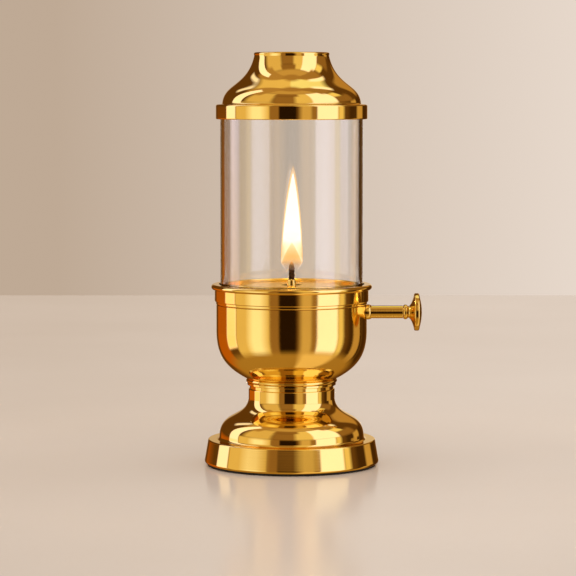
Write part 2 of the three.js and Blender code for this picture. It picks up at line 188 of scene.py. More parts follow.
def turned(name, outline, facets=192, along_spindle=False):
    """Surface of revolution: (r, h) goes to (r cos a, r sin a, h), with h laid along +X for the knob."""
    outline = np.vstack(outline)
    fresh = np.r_[True, np.linalg.norm(np.diff(outline, axis=0), axis=1) > SAME_POINT]
    outline = outline[fresh]
    solid = outline[0, 0] < ON_AXIS and outline[-1, 0] < ON_AXIS
    outline = braced(outline) if solid else braced(np.vstack([outline, outline[:1]]))[:-1]
    angle = np.linspace(0.0, 2 * np.pi, facets, endpoint=False)
    r, h = outline[:, 0:1], outline[:, 1:2] * np.ones(facets)
    x, y = r * np.cos(angle), r * np.sin(angle)
    grid = np.stack([x, y, h], axis=-1)
    if along_spindle:
        grid = np.stack([h, y + SPINDLE_Y, SPINDLE_Z - x], axis=-1)
    return new_piece(name, grid * MM, closed_rows=not solid)


# %% [markdown]
# ## Node helpers
# A material is a small network of nodes. A few helpers keep the wiring short: they start a material, add
# a node with its settings, make a noise or a ramp of colours, blend two colours, and join the shader to
# the output.


# %% Material helpers
def node(nodes, kind, inputs=None, **settings):
    """Adds a node of that kind, sets its properties and the default values of its inputs."""
    made = nodes.new(kind)
    for key, value in settings.items():
        setattr(made, key, value)
    for key, value in (inputs or {}).items():
        made.inputs[key].default_value = value
    return made


def start_material(name):
    """An empty material with its nodes, its links and the socket that gives the place on the piece."""
    print("material:", name)
    material = bpy.data.materials.new(name)
    material.use_nodes = True
    nodes = material.node_tree.nodes
    nodes.clear()
    place = node(nodes, "ShaderNodeTexCoord").outputs["Object"]
    return material, nodes, material.node_tree.links, place


def noise(nodes, links, place, scale, detail, roughness=0.5):
    """Noise over a place: the scale is in waves a metre, and the detail adds finer waves to it."""
    made = node(nodes, "ShaderNodeTexNoise", {"Scale": scale, "Detail": detail, "Roughness": roughness})
    links.new(place, made.inputs["Vector"])
    return made.outputs["Fac"]


def blend_over(nodes, links, value, start, end):
    """0 where the value is at the start, 1 at the end, straight between them."""
    blend = node(nodes, "ShaderNodeMapRange", {"From Min": start, "From Max": end})
    links.new(value, blend.inputs["Value"])
    return blend.outputs["Result"]


def to_surface(nodes, links, shader):
    """Joins the finished shader to the material's output, and hands that output back."""
    out = node(nodes, "ShaderNodeOutputMaterial")
    links.new(shader.outputs[0], out.inputs["Surface"])
    return out


def ramp(nodes, links, share, stops):
    """The colour at a share of the way, with straight lines between stops of (position, colour)."""
    made = nodes.new("ShaderNodeValToRGB")
    elements = made.color_ramp.elements
    for index, (position, colour) in enumerate(stops):
        stop = elements[index] if index < 2 else elements.new(position)
        stop.position, stop.color = position, (*colour, 1.0)
    links.new(share, made.inputs["Fac"])
    return made.outputs["Color"]


def mix_colours(nodes, links, share, first, second):
    """Blends two colours: a share of 0 gives the first and 1 the second. Each is a socket or a colour."""
    mix = nodes.new("ShaderNodeMix")
    mix.data_type = "RGBA"
    links.new(share, mix.inputs[0])
    for socket, value in ((mix.inputs[6], first), (mix.inputs[7], second)):
        if isinstance(value, bpy.types.NodeSocket):
            links.new(value, socket)
        else:
            socket.default_value = (*value, 1.0)
    return mix.outputs[2]


# %% [markdown]
# ## Brass
# Polished brass is a mirror with a warm tint, so its looks come from what it reflects. What the surface
# itself adds is small: faint rings left by the lathe, slow drifts in colour, and a haze that comes and
# goes. The rings follow the radius and the height, so they run round each piece as tool marks do. The
# dish under the flame is duller, so the flame's light lies on it; round its hole it has painted shade.


# %% Brass finish
GOLD = (0.97, 0.75, 0.26)
EDGE_TINT, DISH_EDGE_TINT = (1.0, 0.84, 0.55), (1.0, 0.65, 0.05)
# Painted shade round the dish's hole: its colour, its dullness and the radii over which it fades out.
HOLE_SHADE_BLACK, HOLE_SHADE_DULLNESS, HOLE_SHADE_RADII = (0.01, 0.006, 0.004), (0.95, 0.95, 0.95), (5.0, 6.2)
DARKER, LIGHTER, LEAST_HAZE, MOST_HAZE = 0.94, 1.05, 0.75, 1.35
DRIFT_SCALE, RING_HEIGHT = 34.0, 0.0002


def brass(
    name,
    roughness,
    ring_depth,
    rings_per_metre,
    centre=(0.0, 0.0, 0.0),
    axis="Z",
    edge_tint=EDGE_TINT,
    metallic=1.0,
    soot=None,
):
    """Metal whose rings are noise of (radius, height) about the turning axis, and whose tint drifts.

    Soot is a pair of radii in mm for painted shade round a hole: matt black inside the first, plain
    brass outside the second.
    """
    material, nodes, links, place = start_material(name)
    centred = node(nodes, "ShaderNodeVectorMath", {1: centre}, operation="SUBTRACT")
    split = node(nodes, "ShaderNodeSeparateXYZ")
    links.new(place, centred.inputs[0])
    links.new(centred.outputs[0], split.inputs[0])
    across = ("X", "Y") if axis == "Z" else ("Y", "Z")
    flat = node(nodes, "ShaderNodeCombineXYZ")
    links.new(split.outputs[across[0]], flat.inputs[0])
    links.new(split.outputs[across[1]], flat.inputs[1])
    radius = node(nodes, "ShaderNodeVectorMath", operation="LENGTH")
    links.new(flat.outputs[0], radius.inputs[0])
    ring_place = node(nodes, "ShaderNodeCombineXYZ")
    links.new(radius.outputs["Value"], ring_place.inputs[0])
    links.new(split.outputs[axis], ring_place.inputs[1])
    rings = noise(nodes, links, ring_place.outputs[0], rings_per_metre, 3.0, 0.6)
    drift = noise(nodes, links, place, DRIFT_SCALE, 4.0, 0.55)

    darker, lighter = [value * DARKER for value in GOLD], [min(value * LIGHTER, 1.0) for value in GOLD]
    gold = ramp(nodes, links, drift, [(0.3, darker), (0.72, lighter)])
    least, most = roughness * LEAST_HAZE, roughness * MOST_HAZE
    haze = node(nodes, "ShaderNodeMapRange", {"To Min": least, "To Max": most})
    links.new(drift, haze.inputs["Value"])
    bump = node(nodes, "ShaderNodeBump", {"Strength": ring_depth, "Distance": RING_HEIGHT})
    links.new(rings, bump.inputs["Height"])
    settings = {"Metallic": metallic, "IOR": 1.5, "Specular Tint": (*edge_tint, 1.0)}
    shader = node(nodes, "ShaderNodeBsdfPrincipled", settings)
    dullness = haze.outputs["Result"]
    # Painted shade round the hole: the brass goes to matt black inside the first radius.
    if soot:
        unshaded = blend_over(nodes, links, radius.outputs["Value"], soot[0] * MM, soot[1] * MM)
        bare = node(nodes, "ShaderNodeMath", {1: metallic}, operation="MULTIPLY")
        links.new(unshaded, bare.inputs[0])
        links.new(bare.outputs[0], shader.inputs["Metallic"])
        gold = mix_colours(nodes, links, unshaded, HOLE_SHADE_BLACK, gold)
        dullness = mix_colours(nodes, links, unshaded, HOLE_SHADE_DULLNESS, dullness)
    links.new(gold, shader.inputs["Base Color"])
    links.new(dullness, shader.inputs["Roughness"])
    links.new(bump.outputs["Normal"], shader.inputs["Normal"])
    to_surface(nodes, links, shader)
    return material


polished = brass("polished_brass", roughness=0.035, ring_depth=0.03, rings_per_metre=900.0)
lined = brass("lined_brass", roughness=0.05, ring_depth=0.08, rings_per_metre=2600.0)
warm = brass(
    "dish_brass",
    roughness=0.12,
    ring_depth=0.06,
    rings_per_metre=1800.0,
    edge_tint=DISH_EDGE_TINT,
    metallic=0.9,
    # Painted shade round the hole in the dish's middle.
    soot=HOLE_SHADE_RADII,
)
knob_brass = brass(
    "knob_brass",
    roughness=0.1,
    ring_depth=0.12,
    rings_per_metre=1500.0,
    centre=(0.0, SPINDLE_Y * MM, SPINDLE_Z * MM),
    axis="X",
)

# %% [markdown]
# ## Steel and felt
# The hidden fasteners are plain steel, and the pad under the foot is black felt with a short nap.


# %% Plain finishes
def mottled(name, dark, light, scale, roughness, bump_distance, metallic=0.0):
    """A surface whose colour runs from dark to light with a noise, and whose height follows it."""
    material, nodes, links, place = start_material(name)
    grain = noise(nodes, links, place, scale, 5.0)
    colour = ramp(nodes, links, grain, [(0.35, dark), (0.68, light)])
    bump = node(nodes, "ShaderNodeBump", {"Strength": 0.5, "Distance": bump_distance})
    links.new(grain, bump.inputs["Height"])
    shader = node(nodes, "ShaderNodeBsdfPrincipled", {"Roughness": roughness, "Metallic": metallic})
    links.new(colour, shader.inputs["Base Color"])
    links.new(bump.outputs["Normal"], shader.inputs["Normal"])
    to_surface(nodes, links, shader)
    return material


STEEL_DARK, STEEL_LIGHT = (0.42, 0.42, 0.41), (0.56, 0.56, 0.55)
FELT_DARK, FELT_LIGHT = (0.006, 0.006, 0.006), (0.03, 0.028, 0.026)
steel = mottled(
    "steel", STEEL_DARK, STEEL_LIGHT, scale=700.0, roughness=0.32, bump_distance=0.00005, metallic=1.0
)
felt = mottled("black_felt", FELT_DARK, FELT_LIGHT, scale=2400.0, roughness=0.96, bump_distance=0.0003)

# %% [markdown]
# ## Glass
# The chimney is a drawn borosilicate tube. It is made with its real wall, so that light bends twice and
# draws the thin dark lines down both sides by itself. Lamps would find the glass solid, so for a shadow
# ray it is swapped for a plain clear surface, and the dish and the wick inside are lit. A thin clear coat
# strengthens the bands of light that the tube mirrors.


# %% Glass finish
def clear_glass(name):
    """Clear glass whose surface has faint upright streaks, as a drawn tube shows them."""
    material, nodes, links, place = start_material(name)
    shader = node(
        nodes,
        "ShaderNodeBsdfPrincipled",
        {
            "Base Color": (0.985, 0.992, 0.99, 1.0),
            "Roughness": 0.01,
            "IOR": 1.52,
            "Transmission Weight": 1.0,
            "Coat Weight": 0.7,
            "Coat Roughness": 0.02,
        },
    )
    stretch = node(nodes, "ShaderNodeMapping", {"Scale": (1.0, 1.0, 0.05)})
    links.new(place, stretch.inputs["Vector"])
    streaks = noise(nodes, links, stretch.outputs[0], 60.0, 2.0)
    bump = node(nodes, "ShaderNodeBump", {"Strength": 0.03, "Distance": 0.0003})
    links.new(streaks, bump.inputs["Height"])
    links.new(bump.outputs["Normal"], shader.inputs["Normal"])
    ray = node(nodes, "ShaderNodeLightPath")
    clear = node(nodes, "ShaderNodeBsdfTransparent")
    mix = node(nodes, "ShaderNodeMixShader")
    links.new(ray.outputs["Is Shadow Ray"], mix.inputs["Fac"])
    links.new(shader.outputs[0], mix.inputs[1])
    links.new(clear.outputs[0], mix.inputs[2])
    to_surface(nodes, links, mix)
    return material


glass_finish = clear_glass("chimney_glass")

# %% [markdown]
# ## Base pad and foot
# The foot is spun over a former from one disc of brass: a tapered band with a rolled lower edge, a flat
# ledge, then the domed flare that runs up into a straight neck. A thin felt disc closes it below.


# %% Base pad and foot
def dress(piece, material, body, *nodes):
    """Gives a finished piece its material and body, and lets it stand for the plain solids named."""
    piece.data.materials.append(material)
    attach(piece, body)
    if nodes:
        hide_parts(*nodes)
    return piece


PAD_ROUND = 0.25
pad_radius = pad_high[0]
pad = turned(
    "felt_pad",
    [
        points((0, pad_low[2])),
        round_edge((pad_radius - PAD_ROUND, pad_low[2] + PAD_ROUND), PAD_ROUND, -90, 0, 4),
        points((pad_radius, pad_high[2]), (0, pad_high[2])),
    ],
)
dress(pad, felt, "lamp_body", "base_pad")

foot_radius = foot_high[0]
foot_bottom, foot_top = foot_low[2], foot_high[2]
EDGE, LEDGE_ROUND, NECK_ROUND = 1.4, 0.7, 0.5
BAND_HEIGHT, BAND_TAPER, DOME_HEIGHT = 11.9, 1.7, 19.9
ROLLED_LIP, ROLLED_BEND = 5.2, 2.6
band_top = foot_bottom + BAND_HEIGHT
band_top_radius = foot_radius - BAND_TAPER
dome_base = band_top + EDGE
dome = curve(
    (DOME_RADIUS, dome_base),
    (DOME_RADIUS - 0.2, dome_base + DOME_HEIGHT * 0.62),
    (NECK_RADIUS + 1.2, dome_base + DOME_HEIGHT * 0.44),
    (NECK_RADIUS, dome_base + DOME_HEIGHT - EDGE),
)
foot = turned(
    "foot_shell",
    [
        points((foot_radius - ROLLED_LIP, foot_bottom)),
        round_edge((foot_radius - EDGE, foot_bottom + EDGE), EDGE, -90, 0),
        round_edge((band_top_radius - LEDGE_ROUND, band_top - LEDGE_ROUND), LEDGE_ROUND, 0, 90),
        round_edge((DOME_RADIUS + EDGE, dome_base), EDGE, 270, 180),
        dome,
        round_edge((NECK_RADIUS - NECK_ROUND, foot_top - NECK_ROUND), NECK_ROUND, 0, 90, 6),
        points((BOLT_HOLE, foot_top), (BOLT_HOLE, foot_top - WALL)),
        points((NECK_RADIUS - WALL, foot_top - WALL)),
        beside(dome, WALL)[::-1],
        points(
            (DOME_RADIUS - WALL, band_top - WALL),
            (band_top_radius - WALL, band_top - WALL),
            (foot_radius - ROLLED_BEND, foot_bottom + EDGE + WALL),
            (foot_radius - ROLLED_LIP, foot_bottom + WALL),
        ),
    ],
)
dress(foot, polished, "lamp_body", "pedestal_foot")

# %% [markdown]
# ## Neck collar
# Between foot and bowl sits a turned collar: a groove in shadow, a thin step and a full bead.

# %% Neck collar
GROOVE_HEIGHT, GROOVE_DEPTH, STEP_HEIGHT, STEP_OUT, STEP_ROUND, BEAD = 1.6, 0.6, 1.2, 0.6, 0.35, 1.1
groove_radius, step_radius = NECK_RADIUS - GROOVE_DEPTH, NECK_RADIUS + STEP_OUT
step_low = collar_low[2] + GROOVE_HEIGHT
bead_low = step_low + STEP_HEIGHT
bead_radius = collar_high[0]
collar = turned(
    "collar_bead",
    [
        points((BOLT_HOLE, collar_low[2]), (groove_radius, collar_low[2]), (groove_radius, step_low)),
        round_edge((step_radius - STEP_ROUND, step_low + STEP_ROUND), STEP_ROUND, -90, 0, 5),
        points((step_radius, bead_low)),
        round_edge((bead_radius - BEAD, bead_low + BEAD), BEAD, -90, 90, 14),
        points((BOLT_HOLE, collar_high[2])),
    ],
)
dress(collar, polished, "lamp_body", "neck_collar")

# %% [markdown]
# ## Oil bowl
# The bowl is spun thin and even. Its outside keeps the faint rings of the lathe, and its top steps in
# to a spigot that the gallery ring slides over. A round hole in its wall lets the sleeve of the wick
# knob through, and is cut with a boolean.


# %% Oil bowl
def drill(piece, cutter):
    """Cuts one mesh out of another with an exact boolean and keeps the result as the piece's mesh."""
    boolean = piece.modifiers.new("bore", "BOOLEAN")
    boolean.operation, boolean.solver, boolean.object = "DIFFERENCE", "EXACT", cutter
    graph = bpy.context.evaluated_depsgraph_get()
    result = bpy.data.meshes.new_from_object(piece.evaluated_get(graph))
    piece.modifiers.clear()
    piece.data = result
    bpy.data.objects.remove(cutter)
    piece.data.set_sharp_from_angle(angle=SHARP_ANGLE)


bowl_bottom = bowl_low[2]
bowl_shoulder = gallery_low[2]
SEAT_RADIUS, BELLY_HEIGHT, SPIGOT_RADIUS = 22.3, 23.0, 36.0
BORE_FROM, BORE_TO = 20, 60
belly = curve(
    (SEAT_RADIUS, bowl_bottom),
    (SEAT_RADIUS + 10, bowl_bottom + 5.3),
    (BOWL_RADIUS - 0.1, bowl_bottom + 11.1),
    (BOWL_RADIUS, bowl_bottom + BELLY_HEIGHT),
)
spigot_top = bowl_high[2]
bowl = turned(
    "bowl_shell",
    [
        points((BOLT_HOLE, bowl_bottom)),
        belly,
        points(
            (BOWL_RADIUS, bowl_shoulder),
            (SPIGOT_RADIUS, bowl_shoulder),
            (SPIGOT_RADIUS, spigot_top),
            (SPIGOT_RADIUS - BOWL_WALL, spigot_top),
            (SPIGOT_RADIUS - BOWL_WALL, bowl_shoulder - BOWL_WALL),
            (BOWL_RADIUS - BOWL_WALL, bowl_shoulder - 2 * BOWL_WALL),
        ),
        beside(belly, BOWL_WALL)[:0:-1],
        points((SEAT_RADIUS, bowl_bottom + BOWL_WALL), (BOLT_HOLE, bowl_bottom + BOWL_WALL)),
    ],
)
bore_radius = SLEEVE_RADIUS + SEAT_GAP
bore = turned(
    "bore",
    [points((0, BORE_FROM), (bore_radius, BORE_FROM), (bore_radius, BORE_TO), (0, BORE_TO))],
    facets=48,
    along_spindle=True,
)
drill(bowl, bore)
dress(bowl, lined, "lamp_body", "oil_bowl")

# %% [markdown]
# ## Gallery ring
# The ring carries the chimney. From below: a soft ledge, a plain band and a full round rim. Inside, a
# shelf holds the glass and the dish, and the glass has a little room to the side.

# %% Gallery ring
GALLERY_BAND, GALLERY_ROUND, LEDGE, LEDGE_OUT, RIM, RIM_RADIUS = 37.8, 0.5, 0.8, 0.2, 1.35, 39.5
GLASS_POCKET, SHELF_RADIUS, SHELF_THICKNESS = 35.7, 28.7, 1.2
ledge_radius, ledge_high = BOWL_RADIUS + LEDGE_OUT, bowl_shoulder + 2 * LEDGE
gallery_top = gallery_high[2]
gallery_floor = glass_low[2]
socket = GALLERY_BAND - BOWL_WALL
gallery = turned(
    "gallery_band",
    [
        points((socket, bowl_shoulder)),
        round_edge((ledge_radius - LEDGE, bowl_shoulder + LEDGE), LEDGE, -90, 0, 8),
        points((ledge_radius, ledge_high)),
        round_edge((GALLERY_BAND - GALLERY_ROUND, ledge_high + GALLERY_ROUND), GALLERY_ROUND, -80, 0, 6),
        points((GALLERY_BAND, gallery_top - 2 * RIM)),
        round_edge((RIM_RADIUS - RIM, gallery_top - RIM), RIM, -90, 90, 20),
        points(
            (GLASS_POCKET, gallery_top),
            (GLASS_POCKET, gallery_floor),
            (SHELF_RADIUS, gallery_floor),
            (SHELF_RADIUS, gallery_floor - SHELF_THICKNESS),
            (socket, gallery_floor - SHELF_THICKNESS),
        ),
    ],
)
dress(gallery, lined, "lamp_body", "gallery_ring")

# %% [markdown]
# ## Sleeve, boss and knob
# The knob's spindle runs in a fixed tube that stands out of the bowl, with a rounded boss where it
# meets the wall. The knob itself is a little trumpet turned from rod: bead, neck, flare and crown.

# %% Sleeve, boss and knob
SPINDLE_PLAY, SLEEVE_ROUND, GAP_AT_KNOB = 0.25, 0.15, 0.1
bore_inner = SPINDLE_RADIUS + SPINDLE_PLAY
sleeve_end = knob_low[0] - GAP_AT_KNOB
sleeve = turned(
    "sleeve_tube",
    [
        points((bore_inner, sleeve_low[0]), (SLEEVE_RADIUS, sleeve_low[0])),
        round_edge((SLEEVE_RADIUS - SLEEVE_ROUND, sleeve_end - SLEEVE_ROUND), SLEEVE_ROUND, 0, 90, 5),
        points((bore_inner, sleeve_end)),
    ],
    facets=96,
    along_spindle=True,
)
dress(sleeve, knob_brass, "lamp_body", "spindle_sleeve")

BOSS_RADIUS, BOSS_ROUND = 3.7, 1.1


def seated_boss(name, facets=96):
    """Collar round the sleeve whose inner end follows the bowl: x = sqrt((bowl radius + gap)^2 - y^2).

    Each row holds a radius and a place along the spindle, where 0 stands for that curved inner end.
    """
    outer = boss_high[0]
    rows = np.vstack(
        [
            points((bore_radius, 0), (BOSS_RADIUS, 0)),
            round_edge((BOSS_RADIUS - BOSS_ROUND, outer - BOSS_ROUND), BOSS_ROUND, 0, 90, 8),
            points((bore_radius, outer)),
        ]
    )
    angle = np.linspace(0.0, 2 * np.pi, facets, endpoint=False)
    r = rows[:, 0:1]
    y, z = SPINDLE_Y + r * np.sin(angle), SPINDLE_Z - r * np.cos(angle)
    wall = np.sqrt((BOWL_RADIUS + SEAT_GAP) ** 2 - y**2)
    on_wall = rows[:, 1:2] == 0
    x = np.where(on_wall, wall, rows[:, 1:2])
    return new_piece(name, np.stack([x, y, z], axis=-1) * MM, closed_rows=True)


boss = seated_boss("boss_collar")
dress(boss, knob_brass, "lamp_body", "spindle_boss")

knob_start = knob_low[0]
BEAD_LENGTH, BEAD_RADIUS, BEAD_FRONT, BEAD_BACK = 2.4, 3.6, 0.9, 1.2
KNOB_NECK, KNOB_RADIUS, KNOB_EDGE, KNOB_FLOOR = 2.9, 9.2, 0.8, 2
FLARE, STRAIGHT, TURN, FLARE_RADIUS, CROWN, CROWN_RADIUS = 2.9, 1.2, 2.2, 5.2, 1.3, 5.4
knob_bore = SPINDLE_RADIUS + SEAT_GAP
neck_x = knob_start + BEAD_LENGTH
edge_x = neck_x + FLARE
crown_x = knob_high[0]
face_x = crown_x - CROWN
knob = turned(
    "knob_trumpet",
    [
        points((0, edge_x - KNOB_FLOOR), (knob_bore, edge_x - KNOB_FLOOR), (knob_bore, knob_start)),
        round_edge((BEAD_RADIUS - BEAD_FRONT, knob_start + BEAD_FRONT), BEAD_FRONT, -90, 0, 8),
        round_edge((BEAD_RADIUS - BEAD_BACK, neck_x - BEAD_BACK), BEAD_BACK, 0, 90, 8),
        curve(
            (KNOB_NECK, neck_x),
            (KNOB_NECK, neck_x + STRAIGHT),
            (FLARE_RADIUS, neck_x + TURN),
            (KNOB_RADIUS - KNOB_EDGE, edge_x),
            24,
        ),
        round_edge((KNOB_RADIUS - KNOB_EDGE, edge_x + KNOB_EDGE), KNOB_EDGE, -70, 0, 8),
        round_edge((KNOB_RADIUS - KNOB_EDGE, face_x - KNOB_EDGE), KNOB_EDGE, 0, 70, 8),
        curve(
            (KNOB_RADIUS - KNOB_EDGE, face_x),
            (CROWN_RADIUS, face_x + CROWN * 2 / 3),
            (CROWN_RADIUS / 2, crown_x),
            (0, crown_x),
            18,
        ),
    ],
    facets=128,
    along_spindle=True,
)
dress(knob, knob_brass, "knob", "wick_knob")

# %% [markdown]
# ## Burner dish and nozzle
# Inside the glass a shallow dish closes the bowl. Its rim stands up, a trough catches drips, and its
# flat middle is pierced for the little cone that holds the wick.

# %% Burner dish and nozzle
DISH_RIM, DISH_WALL, TROUGH, PLATE, HOLE = 31.5, 0.8, 28.6, 22.0, 4.25
dish_floor, rim_top = dish_low[2], dish_high[2]
plate_top = nozzle_low[2] + DISH_WALL
trough_top = dish_floor + DISH_WALL
corner = curve(
    (DISH_RIM - DISH_WALL, trough_top + DISH_WALL),
    (DISH_RIM - 2 * DISH_WALL, trough_top),
    (DISH_RIM - 2 * DISH_WALL, trough_top),
    (TROUGH, trough_top),
    12,
)
step = curve(
    (TROUGH - 1, trough_top),
    (TROUGH - 3, trough_top),
    (PLATE + 2, plate_top),
    (PLATE, plate_top),
    24,
)
dish = turned(
    "dish_pan",
    [
        round_edge((DISH_RIM - DISH_WALL / 2, rim_top - DISH_WALL / 2), DISH_WALL / 2, 0, 180, 10),
        corner,
        step,
        points((HOLE, plate_top), (HOLE, plate_top - DISH_WALL)),
        beside(step, DISH_WALL)[::-1],
        points((DISH_RIM - DISH_WALL, dish_floor), (DISH_RIM, trough_top)),
    ],
)
dress(dish, warm, "dish", "burner_dish")

NOZZLE_BORE, NOZZLE_RADIUS, LIP_RADIUS, LIP_ROUND = 1.6, 2.4, 1.85, 0.2
nozzle = turned(
    "nozzle_tip",
    [
        points((NOZZLE_BORE, nozzle_low[2]), (NOZZLE_RADIUS, nozzle_low[2])),
        round_edge((LIP_RADIUS, nozzle_high[2] - LIP_ROUND), LIP_ROUND, 0, 180, 8),
    ],
    facets=72,
)
dress(nozzle, polished, "lamp_body", "wick_nozzle")

# %% [markdown]
# ## Wick
# A burnt wick isn't a smooth rod. Its outline swells a little with the height and ends in a blunt point,
# and the twist of the cord shows as shallow ridges. The cotton is pale where it is soaked in oil, black
# where it has burnt, and its very tip glows.

# %% Wick
wick_top = wick_high[2]
wick_bottom = wick_low[2]
BURNT_LENGTH, BURNT_BLEND, EMBER_LENGTH = 10.0, 1.5, 1.3


def burnt_cotton(name):
    """Cotton whose colour runs with the height: oily and pale, then black, with an ember at the tip."""
    material, nodes, links, place = start_material(name)
    split = node(nodes, "ShaderNodeSeparateXYZ")
    links.new(place, split.inputs[0])
    height = split.outputs["Z"]
    grain = noise(nodes, links, place, 1600.0, 4.0)
    soaked = ramp(nodes, links, grain, [(0.3, (0.3, 0.22, 0.12)), (0.7, (0.42, 0.33, 0.2))])
    black = ramp(nodes, links, grain, [(0.35, (0.006, 0.003, 0.002)), (0.7, (0.075, 0.03, 0.014))])
    low, high = wick_top - BURNT_LENGTH - BURNT_BLEND, wick_top - BURNT_LENGTH + BURNT_BLEND
    burnt = blend_over(nodes, links, height, low * MM, high * MM)
    cotton = mix_colours(nodes, links, burnt, soaked, black)
    heat = blend_over(nodes, links, height, (wick_top - EMBER_LENGTH) * MM, wick_top * MM)
    ember = ramp(nodes, links, heat, [(0.0, (0.0, 0.0, 0.0)), (1.0, (0.8, 0.2, 0.01))])
    bump = node(nodes, "ShaderNodeBump", {"Strength": 0.5, "Distance": 0.0003})
    links.new(grain, bump.inputs["Height"])
    shader = node(nodes, "ShaderNodeBsdfPrincipled", {"Roughness": 0.9, "Emission Strength": 1.0})
    links.new(cotton, shader.inputs["Base Color"])
    links.new(ember, shader.inputs["Emission Color"])
    links.new(bump.outputs["Normal"], shader.inputs["Normal"])
    to_surface(nodes, links, shader)
    return material


WICK_RADIUS, WICK_FACETS, COARSE_ROWS, FINE_ROWS, FINE_LENGTH = 1.4, 48, 60, 90, 12
POINT_LENGTH, TIP_SHARE, TIP_POWER = 2.6, 0.15, 0.7
SWELL, SWELL_RATE, SWELL_LENGTH = 0.05, 2.3, 8
STRANDS, TWIST, TWIST_RATE = 3, 0.06, 1.1
fine_from = wick_top - FINE_LENGTH
fine_heights = np.linspace(fine_from, wick_top, FINE_ROWS)[1:]
heights = np.r_[np.linspace(wick_bottom, fine_from, COARSE_ROWS), fine_heights]
from_top = wick_top - heights
taper = TIP_SHARE + (1 - TIP_SHARE) * np.clip(from_top / POINT_LENGTH, 0, 1) ** TIP_POWER
girth = WICK_RADIUS * taper * (1 + SWELL * np.sin(heights * SWELL_RATE) * (from_top < SWELL_LENGTH))
turn = np.linspace(0, 2 * np.pi, WICK_FACETS, endpoint=False)
twist = 1 + TWIST * np.cos(STRANDS * (turn[None, :] + heights[:, None] * TWIST_RATE))
across = girth[:, None] * twist
wick_grid = np.stack(
    [across * np.cos(turn), across * np.sin(turn), heights[:, None] * np.ones_like(across)], axis=-1
)
wick_ends = (wick_grid[:1] * [0, 0, 1], wick_grid, wick_grid[-1:] * [0, 0, 1])
wick = new_piece("wick_cord", np.concatenate(wick_ends) * MM, closed_rows=False)
dress(wick, burnt_cotton("burnt_cotton"), "wick", "wick")

# %% [markdown]
# ## Chimney and cap
# The glass stands on the gallery's shelf, and the fire has rounded its cut ends. The cap hangs over its
# top edge: a straight band round the glass, a ledge that rests on it, and an ogee that draws in to the
# open mouth with a rolled lip.

# %% Chimney and cap
GLASS_WALL = 1.9
FIRE = 0.6
glass_bottom, glass_top = glass_low[2], glass_high[2]
chimney = turned(
    "chimney_tube",
    [
        round_edge((GLASS_RADIUS - FIRE, glass_bottom + FIRE), FIRE, -90, 0, 6),
        round_edge((GLASS_RADIUS - FIRE, glass_top - FIRE), FIRE, 0, 90, 6),
        round_edge((GLASS_RADIUS - GLASS_WALL + FIRE, glass_top - FIRE), FIRE, 90, 180, 6),
        round_edge((GLASS_RADIUS - GLASS_WALL + FIRE, glass_bottom + FIRE), FIRE, 180, 270, 6),
    ],
    facets=256,
)
dress(chimney, glass_finish, "glass", "glass_chimney")

CAP_WALL, CAP_EDGE, SHOULDER, MOUTH, LIP = 1.2, 0.5, 33.9, 18.3, 0.8
band_inner, band_outer = 35.9, 37.1
band_bottom, mouth_top = cap_low[2], cap_high[2]
ledge_top = glass_top + CAP_WALL
ogee = curve(
    (SHOULDER, ledge_top + 2 * CAP_EDGE),
    (SHOULDER - 1.3, ledge_top + 10.4),
    (MOUTH + 3.3, ledge_top + 9),
    (MOUTH, mouth_top - 2 * LIP),
    60,
)
cap = turned(
    "cap_shell",
    [
        points((band_inner, band_bottom)),
        round_edge((band_outer - CAP_EDGE, band_bottom + CAP_EDGE), CAP_EDGE, -90, 0, 6),
        round_edge((band_outer - 2 * CAP_EDGE, ledge_top - 2 * CAP_EDGE), 2 * CAP_EDGE, 0, 90, 10),
        round_edge((SHOULDER + 2 * CAP_EDGE, ledge_top + 2 * CAP_EDGE), 2 * CAP_EDGE, 260, 180, 8),
        ogee[1:],
        round_edge((MOUTH - CAP_WALL / 2, mouth_top - LIP), LIP, -20, 200, 14),
        beside(ogee, CAP_WALL)[:0:-1],
        points((SHOULDER - CAP_WALL, glass_top), (band_inner, glass_top)),
    ],
    facets=224,
)
dress(cap, polished, "cap", "chimney_cap")

# %% [markdown]
# ## What hides inside
# The bridge, the tube, the wheel and the fasteners keep their plain solids, which are true to size, and
# get the same metals.

# %% Finishes of the inner pieces
INNER = {
    "tie_bolt": steel,
    "tie_washer": steel,
    "tie_nut": steel,
    "spindle": steel,
    "burner_bridge": lined,
    "wick_tube": lined,
    "spindle_bracket": lined,
    "sleeve_nut": knob_brass,
    "wick_wheel": knob_brass,
}
for name, finish in INNER.items():
    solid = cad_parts[name]
    if not solid.material_slots:
        solid.data.materials.append(finish)
    for slot in solid.material_slots:
        slot.material = finish
print("plain solids with a finish:", len(INNER))

# %% [markdown]
# ## Flame
# A flame has no surface: it is glowing soot in a thin sheet round dark oil vapour. So the outer drop is
# hollow over the wick and filled with light, as much as the eye looks through, and it shows bright sides,
# an amber middle and the dark wick by itself. Its skin and the white body inside it are a glow mixed with
# clear. All of it leans a little, as the draught in the chimney does.


